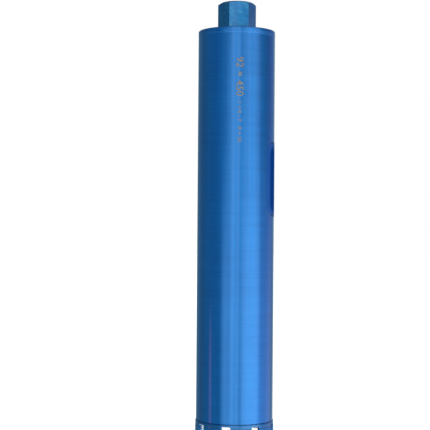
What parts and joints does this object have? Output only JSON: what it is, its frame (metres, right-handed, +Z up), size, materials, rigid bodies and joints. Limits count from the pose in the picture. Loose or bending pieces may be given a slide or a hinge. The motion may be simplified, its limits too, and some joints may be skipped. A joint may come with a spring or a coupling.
{
  "type": "diamond core bit",
  "caption": "Wet diamond core bit: hexagonal threaded hub on an end plate, long lacquered steel barrel, and a slotted crown ring with curved segments.",
  "frame": {"origin": "centre of the cutting face, on the bit's axis, at the segments' lower ends", "axes": "+Z up the bit's axis to the hub, -Y the front that carries the marking"},
  "size_m": [0.092, 0.092, 0.5055],
  "materials": {
    "barrel_lacquer": "clear blue lacquer over ground steel",
    "hub_lacquer": "clear blue lacquer over bright hexagon bar",
    "crown_lacquer": "blue lacquer over turned steel",
    "weld_steel": "bare weld metal",
    "segment_matrix": "sintered metal with diamond grit",
    "label_film": "printed film, plain dark blue",
    "etched_mark": "laser etched through the lacquer"
  },
  "bodies": {
    "root": {"barrel_tube": "barrel_lacquer", "end_plate": "barrel_lacquer", "rim_weld": "barrel_lacquer", "hub": "hub_lacquer", "hub_weld": "weld_steel", "crown_ring": "crown_lacquer", "segment_1": "segment_matrix", "segment_2": "segment_matrix", "segment_3": "segment_matrix", "segment_4": "segment_matrix", "segment_5": "segment_matrix", "segment_6": "segment_matrix", "segment_7": "segment_matrix", "segment_8": "segment_matrix"}
  },
  "joints": []
}
